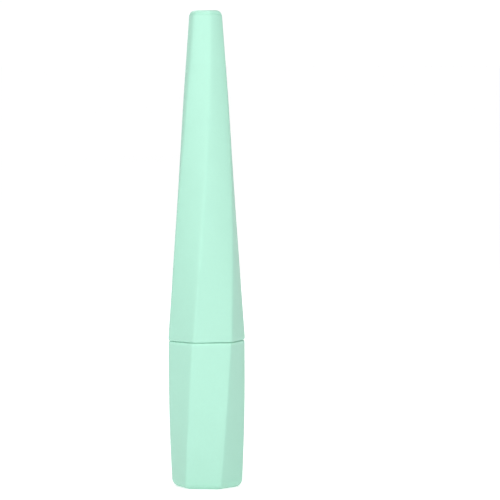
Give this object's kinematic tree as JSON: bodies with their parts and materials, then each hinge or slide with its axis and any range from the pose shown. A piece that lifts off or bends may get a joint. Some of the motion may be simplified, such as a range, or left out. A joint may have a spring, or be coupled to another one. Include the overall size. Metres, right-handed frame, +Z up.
{
  "type": "liquid eyeliner bottle",
  "caption": "Liquid eyeliner in a twisted hexagonal mint bottle with a long tapering screw cap that carries a dark dip-in applicator stem and fine tip.",
  "frame": {"origin": "middle of the flat base, on the common axis of bottle and cap", "axes": "+Z up along the common axis to the cap's flat top; -Y faces the viewer of the picture, +X is to the viewer's right"},
  "size_m": [0.019, 0.0184, 0.1194],
  "materials": {
    "mint_shell": "soft-touch mint green plastic, satin-matte",
    "vial_plastic": "natural translucent polypropylene",
    "wiper_plastic": "soft natural polyethylene",
    "liner_plastic": "moulded mint plastic, unpolished",
    "gasket": "white elastomer washer",
    "stem_plastic": "black plastic rod wet with dark liquid",
    "tip_felt": "black flexible fibre tip, soaked",
    "ink": "black liquid",
    "label": "blank matt white sticker"
  },
  "bodies": {
    "bottle": {"bottle_shell": "mint_shell", "vial": "vial_plastic", "wiper": "wiper_plastic", "ink": "ink", "base_label": "label"},
    "seal_washer": {"cap_gasket": "gasket"},
    "stem": {"applicator_stem": "stem_plastic"},
    "cap": {"cap_shell": "mint_shell", "cap_liner": "liner_plastic", "applicator_tip": "tip_felt"}
  },
  "joints": [
    {"name": "cap_pull", "type": "slide", "parent": "bottle", "child": "seal_washer", "axis": [0, 0, 1], "range_m": [0, 0.05]},
    {"name": "thread_rise", "type": "slide", "parent": "seal_washer", "child": "stem", "axis": [0, 0, 1], "range_m": [0, 0.003]},
    {"name": "cap_turn", "type": "hinge", "parent": "stem", "child": "cap", "pos_m": [0, 0, 0.0369], "axis": [0, 0, 1], "range_deg": [0, 450]}
  ],
  "couplings": [
    {"joint": "cap_turn", "follows": "thread_rise", "rad_per_m": 2618}
  ]
}
